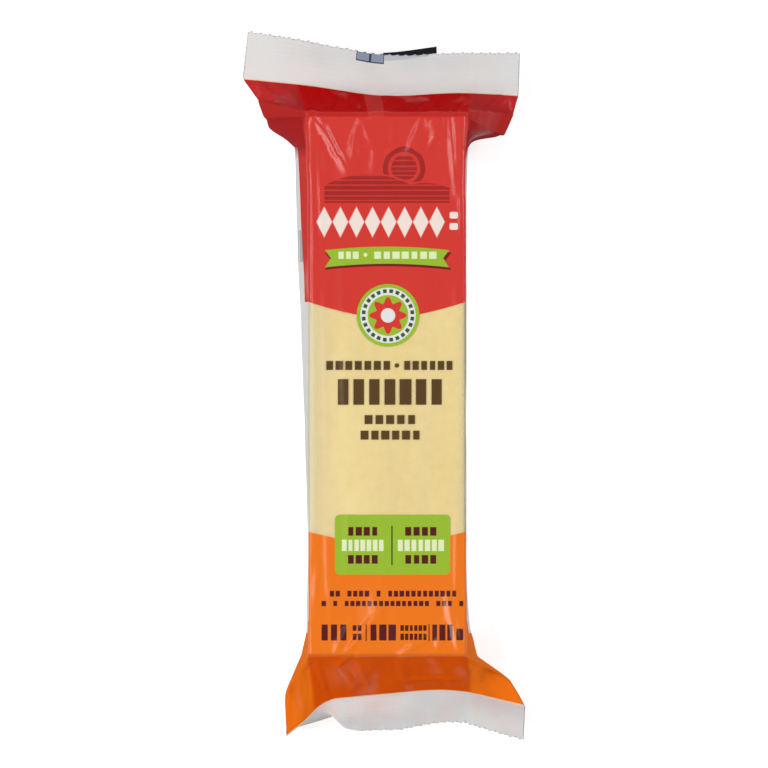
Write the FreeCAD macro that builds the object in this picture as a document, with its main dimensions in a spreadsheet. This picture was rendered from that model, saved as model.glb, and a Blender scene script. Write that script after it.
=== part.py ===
"""A stick of cheddar sealed in a flow wrap of printed film.

The cheese is a plain cut bar. One sheet of film is folded round it into a tube, joined down
the back by a flat seam flap, and welded across both ends into a toothed, crimped seal.
Between the bar and each seal the tube is gathered from a rectangle to a flat double layer,
which leaves an ear on each side. All sizes are in millimetres.

Frame: the pack lies on its back. +Z is up through the printed front, +Y points at the head
seal, and the origin is on the table under the middle of the whole pack.
"""

import math
import os

import FreeCAD
import Part
import Sketcher

OUT = "parts"
V = FreeCAD.Vector

# Driving sizes, one line each: alias, value, what it is.
SIZES = [
    ("block_length", 142.4, "cheese bar along Y"),
    ("block_width", 41.0, "cheese bar across X"),
    ("block_height", 31.7, "cheese bar through Z"),
    ("block_radius", 1.2, "soft edge of the cut cheese"),
    ("block_shift", 0.8, "bar's middle to the right of the pack's middle"),
    ("film_wall", 0.25, "film with the air that clings under it"),
    ("tube_slack", 1.4, "film tube's flat width beyond half the bar's girth"),
    ("seal_height", 12.9, "crimped band from root to cut edge"),
    ("seal_wall", 0.5, "two layers of film and their ribs"),
    ("tooth_pitch", 2.45, "saw-tooth cut edge, tooth to tooth"),
    ("tooth_depth", 0.7, "saw-tooth cut edge, tip to notch"),
    ("seam_width", 14.2, "flap of the lengthwise seam"),
    ("seam_wall", 0.3, "thickness of that flap"),
    ("seam_start", -1.9, "edge of the flap, left of the pack's middle"),
    ("seam_overhang", 1.9, "flap beyond the cut edge of the head seal"),
]

# The root line of each seal, at stations across the pack. "share" runs from -1 at the left ear
# to 1 at the right one, "across" is the place along X as a share of half the flat tube, "reach"
# is how far the root lies past the bar's end, "rise" is its height as a share of the pack's
# height, and "lean" is how steeply the band points down, in degrees.
HEAD_STATIONS = [
    {"share": -1.0, "across": -1.015, "reach": 9.7, "rise": 0.56, "lean": 4},
    {"share": -0.5, "across": -0.505, "reach": 7.6, "rise": 0.53, "lean": 22},
    {"share": 0.0, "across": 0.0, "reach": 5.0, "rise": 0.49, "lean": 28},
    {"share": 0.5, "across": 0.495, "reach": 5.8, "rise": 0.50, "lean": 31},
    {"share": 1.0, "across": 0.966, "reach": 5.2, "rise": 0.52, "lean": 26},
]
FOOT_STATIONS = [
    {"share": -1.0, "across": -0.70, "reach": 22.4, "rise": 0.42, "lean": 86},
    {"share": -0.7, "across": -0.53, "reach": 15.9, "rise": 0.52, "lean": 60},
    {"share": -0.4, "across": -0.34, "reach": 12.0, "rise": 0.53, "lean": 38},
    {"share": 0.0, "across": 0.0, "reach": 10.9, "rise": 0.49, "lean": 38},
    {"share": 0.5, "across": 0.50, "reach": 9.8, "rise": 0.51, "lean": 47},
    {"share": 1.0, "across": 1.015, "reach": 14.1, "rise": 0.50, "lean": 48},
]


SECTION_INSET = 0.3  # the gather starts this share of the bar's radius inside the tube's skin
FLAP_STRIPS = 6  # straight strips across the seam flap
HALVINGS = 40  # steps of the search for a place on a root line


def fill_sheet(doc):
    """The spreadsheet of driving sizes: alias in A, value in B, meaning in C."""
    sheet = doc.addObject("Spreadsheet::Sheet", "sizes")
    for row, (alias, value, meaning) in enumerate(SIZES, start=1):
        sheet.set(f"A{row}", alias)
        sheet.set(f"B{row}", str(value))
        sheet.set(f"C{row}", meaning)
        sheet.setAlias(f"B{row}", alias)
    doc.recompute()
    return sheet


def origin_plane(body, role):
    """One of a body's own origin planes, such as XZ_Plane."""
    return next(o for o in body.Origin.OriginFeatures if o.Role == role)


def rectangle_sketch(body, name, sides):
    """A closed rectangle in the XZ plane. sides maps left, right, low and high to expressions."""
    sketch = body.newObject("Sketcher::SketchObject", name)
    sketch.AttachmentSupport = (origin_plane(body, "XZ_Plane"), [""])
    sketch.MapMode = "FlatFace"
    corners = [V(-1, 1, 0), V(1, 1, 0), V(1, 2, 0), V(-1, 2, 0)]
    for start, end in zip(corners, corners[1:] + corners[:1]):
        sketch.addGeometry(Part.LineSegment(start, end), False)
    for line in range(4):
        sketch.addConstraint(Sketcher.Constraint("Coincident", line, 2, (line + 1) % 4, 1))
    for line, kind in ((0, "Horizontal"), (2, "Horizontal"), (1, "Vertical"), (3, "Vertical")):
        sketch.addConstraint(Sketcher.Constraint(kind, line))
    places = (
        ("left", "DistanceX", 0, 1, -1),
        ("right", "DistanceX", 1, 1, 1),
        ("low", "DistanceY", 0, 1, 1),
        ("high", "DistanceY", 2, 1, 2),
    )
    for side, kind, line, point, value in places:
        index = sketch.addConstraint(Sketcher.Constraint(kind, -1, 1, line, point, value))
        sketch.renameConstraint(index, side)
        sketch.setExpression(f"Constraints.{side}", sides[side])
    return sketch


def bar_body(doc, name, sides, length, radius):
    """A rounded bar along Y: a rectangle padded both ways, then filleted on the named edges."""
    body = doc.addObject("PartDesign::Body", name)
    body.Label = name
    sketch = rectangle_sketch(body, name + "_section", sides)
    pad = body.newObject("PartDesign::Pad", name + "_pad")
    pad.Profile = sketch
    pad.Midplane = True
    pad.setExpression("Length", length)
    doc.recompute()
    edges = [
        f"Edge{i}"
        for i, edge in enumerate(pad.Shape.Edges, start=1)
        if radius["which"] == "all" or is_lengthwise(edge)
    ]
    fillet = body.newObject("PartDesign::Fillet", name + "_fillet")
    fillet.Base = (pad, edges)
    fillet.setExpression("Radius", radius["size"])
    body.Tip = fillet
    doc.recompute()
    return body


def is_lengthwise(edge):
    """True for an edge that runs along Y."""
    return abs(edge.tangentAt(edge.FirstParameter).y) > 0.99


class SealFrame:
    """The middle surface of one end seal: a root line, and the way the band leaves it.

    turned is 1 for the head, whose band points along +Y, and -1 for the foot."""

    def __init__(self, size, stations, turned):
        self.turned = turned
        self.height = size["seal_height"]
        half_flat = (size["block_width"] + size["block_height"] + size["tube_slack"]) / 2
        end = size["block_length"] / 2
        stack = size["block_height"] + 2 * size["film_wall"] + size["seam_wall"]
        self.places = [(s["share"] + 1) / 2 for s in stations]
        root = [
            V(s["across"] * half_flat, turned * (end + s["reach"]), s["rise"] * stack)
            for s in stations
        ]
        self.root = self.spline(root)
        self.lean = self.spline([V(s["share"], math.radians(s["lean"]), 0) for s in stations])

    def spline(self, points):
        curve = Part.BSplineCurve()
        curve.interpolate(Points=points, Parameters=self.places)
        return curve

    def way(self, a):
        """Unit direction of the band at place a, from 0 at the left ear to 1 at the right.

        It is square to the root line, as in a band of film that is bent but not stretched."""
        lean = self.lean.value(a).y
        leaning = V(0, self.turned * math.cos(lean), -math.sin(lean))
        along = self.root.tangent(a)[0].normalize()
        return (leaning - along * leaning.dot(along)).normalize()

    def at(self, a, out):
        """The point at place a, out along the band from the root."""
        return self.root.value(a) + self.way(a) * out

    def normal(self, a):
        """Unit normal of the band at place a, on its front side."""
        across = self.root.tangent(a)[0]
        return across.cross(self.way(a)).normalize() * self.turned

    def row(self, places, out, lift=0.0):
        """Points across the band, each its own distance out from the root and lift off the middle."""
        outs = out if isinstance(out, list) else [out] * len(places)
        return [self.at(a, o) + self.normal(a) * lift for a, o in zip(places, outs)]


def spread(low, high, steps):
    """Evenly spaced numbers from low to high, both ends included."""
    return [low + (high - low) * i / steps for i in range(steps + 1)]


def triangle(*corners):
    return Part.Face(Part.makePolygon(list(corners) + [corners[0]]))


def strip(first, second):
    """Triangles between two rows of as many points."""
    faces = []
    for i in range(len(first) - 1):
        faces.append(triangle(first[i], first[i + 1], second[i + 1]))
        faces.append(triangle(first[i], second[i + 1], second[i]))
    return faces


def skinned_solid(sections):
    """A closed faceted solid through sections, each an upper and a lower row of points.

    All rows run left to right and have as many points."""
    faces = strip(*sections[0]) + strip(*sections[-1])
    for near, far in zip(sections, sections[1:]):
        for upper_or_lower in (0, 1):
            faces += strip(near[upper_or_lower], far[upper_or_lower])
        for end in (0, -1):
            faces += strip([row[end] for row in near], [row[end] for row in far])
    shell = Part.Shell(faces)
    shell.sewShape()
    shell = shell.Shells[0]
    if Part.makeSolid(shell).Volume < 0:
        shell.reverse()
    return Part.makeSolid(shell)


def end_closure(size, frame):
    """One end of the film tube: gathered from a rectangle to a flat double layer, then the
    crimped band with its saw-tooth cut edge."""
    teeth = round(frame.root.length() / size["tooth_pitch"])
    places = spread(0.0, 1.0, 2 * teeth)
    inset = size["block_radius"] * SECTION_INSET
    half = size["block_width"] / 2 + size["film_wall"] - inset
    low = size["seam_wall"] + inset
    high = size["seam_wall"] + 2 * size["film_wall"] + size["block_height"] - inset
    y = frame.turned * size["block_length"] / 2
    left = size["block_shift"] - half
    right = size["block_shift"] + half

    def level(z):
        return [V(x, y, z) for x in spread(left, right, 2 * teeth)]

    lift = size["seal_wall"] / 2
    cut_edge = [frame.height - size["tooth_depth"] * (i % 2 == 0) for i in range(len(places))]
    sections = [(level(high), level(low))]
    for out in (0.0, cut_edge):
        sections.append((frame.row(places, out, lift), frame.row(places, out, -lift)))
    return skinned_solid(sections)


def seam_flap(size, frame, overhang):
    """Half of the lengthwise seam's flap: flat under the bar, up the gather's back, then along
    the seal to its cut edge or past it."""
    y_end = size["block_length"] / 2 + size["film_wall"]
    left = size["seam_start"]
    wall = size["seam_wall"]
    lap = size["film_wall"] / 2
    skin = -size["seal_wall"] / 2
    places = spread(*flap_span(size, frame), FLAP_STRIPS)
    across = spread(left, left + size["seam_width"], FLAP_STRIPS)

    def level(y, z):
        return [V(x, frame.turned * y, z) for x in across]

    out = frame.height - size["tooth_depth"] + overhang
    sections = [
        (level(0.0, wall + lap), level(0.0, 0.0)),
        (level(y_end - lap, wall + lap), level(y_end + wall, 0.0)),
        (frame.row(places, -lap, skin + lap), frame.row(places, wall, skin - wall)),
        (frame.row(places, out, skin + lap), frame.row(places, out, skin - wall)),
    ]
    return skinned_solid(sections)


def flap_span(size, frame):
    """Where the flap's two edges cross a seal's root line, as places from 0 to 1."""
    found = []
    for x in (size["seam_start"], size["seam_start"] + size["seam_width"]):
        low, high = 0.0, 1.0
        for _ in range(HALVINGS):
            middle = (low + high) / 2
            if frame.root.value(middle).x < x:
                low = middle
            else:
                high = middle
        found.append(low)
    return found


def build(doc):
    sheet = fill_sheet(doc)
    size = {alias: float(getattr(sheet, alias)) for alias, _, _ in SIZES}

    bar_sides = {
        "left": "sizes.block_shift - sizes.block_width / 2",
        "right": "sizes.block_shift + sizes.block_width / 2",
        "low": "sizes.seam_wall + sizes.film_wall",
        "high": "sizes.seam_wall + sizes.film_wall + sizes.block_height",
    }
    cheese = bar_body(
        doc,
        "cheese_block",
        bar_sides,
        "sizes.block_length",
        {"which": "all", "size": "sizes.block_radius"},
    )
    tube_sides = {
        "left": "sizes.block_shift - sizes.block_width / 2 - sizes.film_wall",
        "right": "sizes.block_shift + sizes.block_width / 2 + sizes.film_wall",
        "low": "sizes.seam_wall",
        "high": "sizes.seam_wall + 2 * sizes.film_wall + sizes.block_height",
    }
    sleeve = bar_body(
        doc,
        "film_sleeve",
        tube_sides,
        "sizes.block_length + 2 * sizes.film_wall",
        {"which": "lengthwise", "size": "sizes.block_radius + sizes.film_wall"},
    )

    head = SealFrame(size, HEAD_STATIONS, 1)
    foot = SealFrame(size, FOOT_STATIONS, -1)
    shapes = {
        "head_closure": end_closure(size, head),
        "foot_closure": end_closure(size, foot),
        "seam_to_head": seam_flap(size, head, size["seam_overhang"]),
        "seam_to_foot": seam_flap(size, foot, 0.0),
    }
    features = []
    for name, shape in shapes.items():
        feature = doc.addObject("Part::Feature", name)
        feature.Shape = shape
        feature.Placement = FreeCAD.Placement()
        features.append(feature)

    outside = doc.addObject("Part::MultiFuse", "wrapper_outside")
    outside.Shapes = [sleeve] + features
    wrapper = doc.addObject("Part::Cut", "film_wrapper")
    wrapper.Label = "film_wrapper"
    wrapper.Base = outside
    wrapper.Tool = cheese
    doc.recompute()
    return [cheese, wrapper]


def check(doc, pieces):
    """Stops the macro if any object failed or a piece isn't one closed solid."""
    for item in doc.Objects:
        if "Invalid" in item.State or "Error" in item.State:
            raise RuntimeError(f"{item.Name} failed: {item.State}")
    for piece in pieces:
        shape = piece.Shape
        if shape.isNull() or not shape.isValid() or len(shape.Solids) != 1:
            raise RuntimeError(f"{piece.Label} isn't one valid solid: {len(shape.Solids)}")
        box = shape.BoundBox
        print(
            piece.Label,
            f"{shape.Volume / 1000:.2f} cm3",
            f"X {box.XMin:.2f} {box.XMax:.2f}",
            f"Y {box.YMin:.2f} {box.YMax:.2f}",
            f"Z {box.ZMin:.2f} {box.ZMax:.2f}",
        )


def main():
    doc = FreeCAD.newDocument("cheddar_stick")
    pieces = build(doc)
    check(doc, pieces)
    os.makedirs(OUT, exist_ok=True)
    for piece in pieces:
        piece.Shape.exportStep(os.path.join(OUT, piece.Label + ".step"))


main()
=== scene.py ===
# %% [markdown]
# # A stick of cheddar in its printed film
#
# The real pack is two things: a cut bar of cheese, and one sheet of glossy film. The sheet is
# folded round the bar into a tube, joined down the back by a flat seam flap, and welded across
# both ends. The bar comes from the CAD model and only gets its finish here. The film is
# modelled as it is made: a flat sheet first, which carries the print, and then the folds.

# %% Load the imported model
import math

import bpy
import numpy as np
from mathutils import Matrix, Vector, noise


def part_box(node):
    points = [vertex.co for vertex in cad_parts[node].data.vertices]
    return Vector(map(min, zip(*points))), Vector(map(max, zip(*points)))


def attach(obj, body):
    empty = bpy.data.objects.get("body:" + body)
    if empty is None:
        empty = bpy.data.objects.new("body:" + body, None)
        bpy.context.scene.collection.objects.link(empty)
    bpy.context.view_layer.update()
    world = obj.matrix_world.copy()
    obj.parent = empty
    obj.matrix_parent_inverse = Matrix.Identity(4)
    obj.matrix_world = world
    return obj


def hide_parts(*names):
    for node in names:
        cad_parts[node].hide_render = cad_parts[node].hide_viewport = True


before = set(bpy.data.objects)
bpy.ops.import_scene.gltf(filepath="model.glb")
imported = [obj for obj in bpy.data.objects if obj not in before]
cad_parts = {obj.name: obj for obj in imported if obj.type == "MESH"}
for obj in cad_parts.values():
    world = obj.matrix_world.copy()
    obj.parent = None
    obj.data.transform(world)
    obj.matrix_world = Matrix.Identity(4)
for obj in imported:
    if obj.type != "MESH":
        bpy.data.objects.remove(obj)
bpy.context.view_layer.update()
bpy.ops.object.select_all(action="DESELECT")

MM = 0.001
bar_low, bar_high = (np.array(corner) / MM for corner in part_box("cheese_block"))
print("cheese bar in mm:", bar_low.round(2), bar_high.round(2))

# %% [markdown]
# ## The tube and its sheet
#
# All film sizes follow the bar. The sheet is divided into 30 columns round the bar: nine on
# the front, nine on the back and six on each side. The middle line of each side becomes the
# outer fold of the ears, where the tube is pressed flat. Counting starts at the seam under
# the bar, so the corners fall on known columns. A box with rounded edges would be quicker, but
# it could not be printed flat, welded and pressed shut, as the real film is.

# %% Sizes of the tube
CLING = 0.25  # film stands off the cheese by this much
LEFT, RIGHT = bar_low[0] - CLING, bar_high[0] + CLING
LOW, TOP = bar_low[2] - CLING, bar_high[2] + CLING
END = bar_high[1] + CLING
MIDDLE = (LEFT + RIGHT) / 2
WIDTH, HEIGHT = RIGHT - LEFT, TOP - LOW
STACK = TOP  # the whole pack's height, with the seam flap under the bar

COLUMNS = 30
LOW_LEFT, LEFT_FOLD, TOP_LEFT, TOP_RIGHT, RIGHT_FOLD, LOW_RIGHT = 4, 7, 10, 19, 22, 25
LAYER = 15  # columns across one layer of the flattened tube
FACE = TOP_RIGHT - TOP_LEFT
SIDE = TOP_LEFT - LOW_LEFT
face_cell, side_cell = WIDTH / FACE, HEIGHT / SIDE

cells = [face_cell] * LOW_LEFT + [side_cell] * SIDE + [face_cell] * FACE
cells += [side_cell] * SIDE + [face_cell] * (COLUMNS - LOW_RIGHT)
around = np.concatenate([[0], np.cumsum(cells)])
around -= (around[TOP_LEFT] + around[TOP_RIGHT]) / 2
print("sheet width in mm:", round(around[-1] - around[0], 1))

# %% [markdown]
# ## The end seals
#
# Each seal is a flat band about 13 mm high that starts at a root line. The root lines wave,
# and the bands lean down by an angle that changes across the pack, so both are set by a few
# stations, from the left ear (-1) to the right one (1), with a smooth curve through them. The
# band leaves its root line at a right angle, as film does that bends but can't stretch, except
# near the right ears, where it was pulled a little aslant. A cloth simulation could find such a
# shape too, but stations put each seal exactly where it belongs, on every run.

# %% Stations of the two seals
SEAL = 12.9  # height of the crimped band
HALF_FLAT = 37.05  # half the width of the flattened tube
HEAD = {
    "turned": 1,
    "share": [-1.0, -0.5, 0.0, 0.5, 1.0],
    "across": [-1.015, -0.505, 0.0, 0.495, 0.966],
    "reach": [9.7, 7.6, 5.0, 5.8, 5.2],
    "rise": [0.56, 0.53, 0.49, 0.50, 0.52],
    "lean": [4, 22, 28, 31, 26],
    "curl": [0, 4, 6, 4, 0],
    "film": 16.8,  # length of film between the bar's end and the root
    "shear": 0.3,
    "bevel": 0.8,  # how far the film cuts the corner over the bar's rounded end edge
}
FOOT = {
    "turned": -1,
    "share": [-1.0, -0.8, -0.7, -0.62, -0.54, -0.36, 0.0, 0.5, 1.0],
    "across": [-0.70, -0.60, -0.545, -0.495, -0.44, -0.31, 0.0, 0.50, 1.015],
    "reach": [22.4, 19.0, 17.3, 15.2, 12.9, 12.0, 10.9, 9.8, 14.1],
    "rise": [0.43, 0.44, 0.46, 0.48, 0.50, 0.53, 0.49, 0.51, 0.50],
    "lean": [98, 84, 70, 60, 52, 45, 38, 47, 42],
    "curl": [0, 0, 2, 14, 20, 18, 12, -6, -8],
    "film": 19.4,
    "shear": 0.85,
    "bevel": 0.05,
}


def through(end, key, share):
    """A smooth curve through one row of an end's stations."""
    x, y = np.array(end["share"]), np.array(end[key], float)
    slopes = np.gradient(y, x)
    i = int(np.clip(np.searchsorted(x, share) - 1, 0, len(x) - 2))
    span = x[i + 1] - x[i]
    t = (share - x[i]) / span
    ease = t * t * (3 - 2 * t)
    entry, leave = t * (1 - t) ** 2, t * t * (t - 1)
    return y[i] + (y[i + 1] - y[i]) * ease + span * (slopes[i] * entry + slopes[i + 1] * leave)


def root(end, share):
    """The point of an end's root line at a place across the pack."""
    x = through(end, "across", share) * HALF_FLAT
    y = end["turned"] * (bar_high[1] + through(end, "reach", share))
    return np.array([x, y, through(end, "rise", share) * STACK])


def unit(vector):
    return vector / np.linalg.norm(vector)


def way(end, share, tilt=0.0):
    """The direction in which the band leaves its root, with some more tilt if it curls."""
    step = 0.01
    along = unit(root(end, min(share + step, 1)) - root(end, max(share - step, -1)))
    lean = math.radians(through(end, "lean", share) + tilt)
    leaning = np.array([0, end["turned"] * math.cos(lean), -math.sin(lean)])
    square = 1 - end["shear"] * float(np.clip((share - 0.35) / 0.5, 0, 1))
    return unit(leaning - along * leaning.dot(along) * square), along


def band_point(end, share, out, lift):
    """A point of the band, out from its root, and lifted off its middle surface."""
    curl = through(end, "curl", share)
    first, along = way(end, share, -curl)
    second, _ = way(end, share, curl)
    near = min(out, SEAL / 2)
    point = root(end, share) + first * near + second * (out - near)
    front = unit(np.cross(along, first)) * end["turned"]
    return point + front * lift


for name, end in (("head", HEAD), ("foot", FOOT)):
    print(name, "root in mm:", [root(end, share).round(1).tolist() for share in (-1, 0, 1)])


# %% [markdown]
# ## The rows of the sheet
#
# The sheet's rows run across it, from the foot's cut edge to the head's. Along the bar they
# are plain rounded rectangles, a little baggy on the left near the head. At each end of the
# bar the film turns over the edge, and there the ears begin: a ridge runs from each corner of
# the bar out to the ear's fold. The fold points are listed one by one, because soft film
# never folds twice the same way.

# %% Where a column lies in a section
CORNERS = {
    LOW_LEFT: (LEFT, LOW),
    TOP_LEFT: (LEFT, TOP),
    TOP_RIGHT: (RIGHT, TOP),
    LOW_RIGHT: (RIGHT, LOW),
}


def tube_point(column, y, left_bag=0.0, right_bag=0.0):
    """A point of the film along the bar. The bags stand off the sides by that much."""
    if column <= LOW_LEFT or column >= LOW_RIGHT:
        along = (column + COLUMNS - LOW_RIGHT) % COLUMNS / FACE
        return np.array([RIGHT + (LEFT - RIGHT) * along, y, LOW])
    if column <= TOP_LEFT:
        along = (column - LOW_LEFT) / SIDE
        bag = left_bag * math.sin(math.pi * along)
        return np.array([LEFT - bag, y, LOW + HEIGHT * along])
    if column <= TOP_RIGHT:
        along = (column - TOP_LEFT) / FACE
        return np.array([LEFT + WIDTH * along, y, TOP])
    along = (column - TOP_RIGHT) / SIDE
    bag = right_bag * math.sin(math.pi * along)
    return np.array([RIGHT + bag, y, TOP - HEIGHT * along])


def layer_share(column):
    """Where a column lies in the flattened tube: its share across, and 1 in front, -1 behind."""
    if column <= LEFT_FOLD:
        across, side = (LEFT_FOLD - column) / LAYER, -1
    elif column <= RIGHT_FOLD:
        across, side = (column - LEFT_FOLD) / LAYER, 1
    else:
        across, side = 1 - (column - RIGHT_FOLD) / LAYER, -1
    return across * 2 - 1, 0 if column in (LEFT_FOLD, RIGHT_FOLD) else side


def ear_share(column):
    """1 at an ear's fold, falling to 0 at the corners of the bar, with the fold it belongs to."""
    left, right = abs(column - LEFT_FOLD), abs(column - RIGHT_FOLD)
    side = 0 if left < right else 1
    return max(0.0, 1 - min(left, right) / (SIDE / 2)), side


def lip_point(column, end, folds):
    """The row where the film turns over the bar's end and out along the ears' ridges."""
    y = end["turned"] * (END - end["bevel"])
    weight, side = ear_share(column)
    if weight == 0:
        return tube_point(column, y)
    high = column > LEFT_FOLD and column < RIGHT_FOLD
    corner = np.array([(LEFT, RIGHT)[side], y, TOP if high else LOW])
    return corner + (np.array(folds[side], float) - corner) * weight


def gather_point(column, end, folds, mid_folds, t, lift):
    """Between the lip row, at t = 0, and the root of the seal, at t = 1."""
    share, layer = layer_share(column)
    start = lip_point(column, end, folds)
    if t > 0:
        over = np.array([0, end["turned"] * (end["bevel"] + 0.25), -layer * 0.9])
        start = start + over * (1 - ear_share(column)[0])
    finish = band_point(end, share, 0, layer * lift)
    weight, side = ear_share(column)
    if 0 < t < 1 and weight > 0:
        fold_share = (-1, 1)[side]
        straight = np.array(folds[side]) * (1 - t) + root(end, fold_share) * t
        return start * (1 - t) + finish * t + (np.array(mid_folds[side]) - straight) * weight
    return start * (1 - t) + finish * t


print("outer folds at columns", LEFT_FOLD, RIGHT_FOLD, "and corners at", sorted(CORNERS))

# %% The rows themselves, from the foot's cut edge to the head's
HEAD_FOLDS = [(-32.0, 70.6, 18.5), (31.9, 65.7, 18.0)]
HEAD_MID_FOLDS = [(-33.6, 75.0, 18.4), (34.6, 71.8, 17.2)]
FOOT_FOLDS = [(-22.0, -72.4, 17.5), (24.9, -72.2, 17.0)]
FOOT_MID_FOLDS = [(-26.0, -81.8, 17.8), (32.6, -77.6, 16.5)]
ROOT_LIFT, CUT_LIFT = 0.16, 0.04

rows = []


def add_row(along, points):
    """Keeps one row: its place along the flat sheet, and its points once folded."""
    rows.append((along, points))


def add_band(end, outs):
    for out in outs:
        lift = ROOT_LIFT + (CUT_LIFT - ROOT_LIFT) * out / SEAL
        along = end["turned"] * (END + end["film"] + out)
        shares = [layer_share(column) for column in range(COLUMNS + 1)]
        add_row(along, [band_point(end, share, out, side * lift) for share, side in shares])


def add_gather(end, folds, mid_folds, places):
    for t in places:
        along = end["turned"] * (END + end["film"] * t)
        columns = range(COLUMNS + 1)
        add_row(along, [gather_point(c, end, folds, mid_folds, t, ROOT_LIFT) for c in columns])


def add_tube(y, left_bag, right_bag, lags=(0.0, 0.0)):
    """One row along the bar. A lag moves the middle of that side back along the bar."""
    points = [tube_point(column, y, left_bag, right_bag) for column in range(COLUMNS + 1)]
    for column in range(COLUMNS + 1):
        weight, side = ear_share(column)
        points[column][1] += lags[side] * weight
    add_row(y, points)


add_band(FOOT, [SEAL, SEAL * 0.75, SEAL * 0.5, SEAL * 0.25])
add_gather(FOOT, FOOT_FOLDS, FOOT_MID_FOLDS, [1.0, 0.66, 0.33, 0.01, 0.0])
# Along the bar, the sides stand off by a little, and most on the left near the head.
add_tube(-67.6, 0.7, 2.3, lags=(0.4, 0.3))
add_tube(-64.8, 0.3, 1.2)
for y in np.linspace(-60, 50, 12):
    bag = 0.15 + 3.7 * np.clip((y + 38) / 95, 0, 1) ** 1.02
    add_tube(y, bag, 0.15 + 0.4 * np.clip(-(y + 45) / 20, 0, 1))
add_tube(57.5, 3.7, 0.3)
add_tube(62.0, 3.8, 0.4, lags=(0.8, 0.6))
add_tube(64.2, 5.6, 1.0, lags=(0.4, 0.0))
add_tube(66.4, 9.0, 3.4, lags=(0.0, -1.2))
add_tube(68.6, 11.6, 9.0, lags=(-0.6, -3.2))
add_gather(HEAD, HEAD_FOLDS, HEAD_MID_FOLDS, [0.0, 0.01, 0.33, 0.66, 1.0])
add_band(HEAD, [SEAL * 0.25, SEAL * 0.5, SEAL * 0.75, SEAL])
along_sheet = np.array([along for along, _ in rows])
print(len(rows), "rows, sheet length in mm:", round(along_sheet[-1] - along_sheet[0], 1))

# %% [markdown]
# ## Folding the sheet
#
# A grid is added flat, at the sheet's true size. Its flat places are written into the UV map
# before anything is folded, in units of 100 mm, so whatever is printed on the flat sheet
# follows it round every fold. Then the grid's points go to their folded places and the two
# long edges are welded. Subdivision rounds it all, and edge creases keep the folds sharp.

# %% A helper that makes a flat grid, and one that runs an operator in edit mode


def flat_grid(name, columns, lengthwise):
    """A flat grid of columns by rows, with its index along each side as its position."""
    bpy.ops.mesh.primitive_grid_add(x_subdivisions=columns, y_subdivisions=lengthwise, size=1)
    sheet = bpy.context.object
    sheet.name = name
    sheet.data.name = name
    places = {}
    for vertex in sheet.data.vertices:
        column = round((vertex.co.x + 0.5) * columns)
        row = round((vertex.co.y + 0.5) * lengthwise)
        places[vertex.index] = (column, row)
    return sheet, places


def edit(sheet, *steps):
    """Selects the whole mesh of one object in edit mode and runs operators on it."""
    bpy.ops.object.select_all(action="DESELECT")
    sheet.select_set(True)
    bpy.context.view_layer.objects.active = sheet
    bpy.ops.object.mode_set(mode="EDIT")
    bpy.ops.mesh.select_all(action="SELECT")
    for operator, settings in steps:
        operator(**settings)
    bpy.ops.object.mode_set(mode="OBJECT")


def apply_modifier(sheet, kind, **settings):
    bpy.ops.object.select_all(action="DESELECT")
    sheet.select_set(True)
    bpy.context.view_layer.objects.active = sheet
    modifier = sheet.modifiers.new(kind.title(), kind)
    for key, value in settings.items():
        setattr(modifier, key, value)
    bpy.ops.object.modifier_apply(modifier=modifier.name)


UV_UNIT = 100.0  # millimetres of film for each 1 of the UV map


def write_sheet_uv(sheet, places, across, lengthwise):
    """Writes each corner's place on the flat sheet into the UV map."""
    uv = sheet.data.uv_layers.active.data
    for loop in sheet.data.loops:
        column, row = places[loop.vertex_index]
        uv[loop.index].uv = (across[column] / UV_UNIT, lengthwise[row] / UV_UNIT)


# %% Fold the film
DIVISIONS = 3  # each cell of the cage becomes 8 by 8 faces
FINE = 2**DIVISIONS

film, film_places = flat_grid("printed_film", COLUMNS, len(rows) - 1)
write_sheet_uv(film, film_places, around, along_sheet)
for index, (column, row) in film_places.items():
    film.data.vertices[index].co = Vector(rows[row][1][column] * MM)

FOOT_LIP = 8
HEAD_LIP = len(rows) - 9
FOOT_ROOT, HEAD_ROOT = 4, len(rows) - 5


def crease_of(first, second):
    """How sharp the film is along one edge of the cage, from 0 to 1."""
    (column_a, row_a), (column_b, row_b) = sorted((first, second))
    if column_a == column_b:
        beyond = min(row_a, row_b) < FOOT_LIP or max(row_a, row_b) > HEAD_LIP
        if column_a in (LEFT_FOLD, RIGHT_FOLD):
            return 0.97 if beyond else 0.0
        if column_a in CORNERS:
            return 0.8 if beyond else 0.72
        return 0.0
    on_ear = ear_share(column_a)[0] + ear_share(column_b)[0] > 0
    if row_a in (FOOT_LIP, HEAD_LIP):
        return 0.95 if on_ear else 0.85
    if row_a == HEAD_LIP - 4 and on_ear:
        return 0.9
    if row_a in (FOOT_LIP - 1, HEAD_LIP + 1):
        return 0.6
    if row_a in (FOOT_ROOT, HEAD_ROOT):
        return 0.5
    return 0.0


creases = film.data.attributes.new("crease_edge", "FLOAT", "EDGE")
for edge in film.data.edges:
    first, second = (film_places[i] for i in edge.vertices)
    creases.data[edge.index].value = crease_of(first, second)

weld = (bpy.ops.mesh.remove_doubles, {"threshold": 1e-7})
edit(film, weld)
apply_modifier(film, "SUBSURF", levels=DIVISIONS, render_levels=DIVISIONS, uv_smooth="NONE")
print("film faces:", len(film.data.polygons))

# %% [markdown]
# ## Wrinkles, ribs and teeth
#
# The smooth sheet now gets what the sealing jaws and the handling did to it. Each vertex finds
# its place on the flat sheet again from the UV map. Ripples and creases push it along its
# normal. The jaws leave ribs in the bands and a saw-toothed cut edge, and there the two layers
# are welded together, which closes the bag. All this could be sculpted by hand, but a formula
# over the flat sheet is exact, can be read, and leaves the bumps where the print is.

# %% Each vertex's place on the flat sheet


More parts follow.
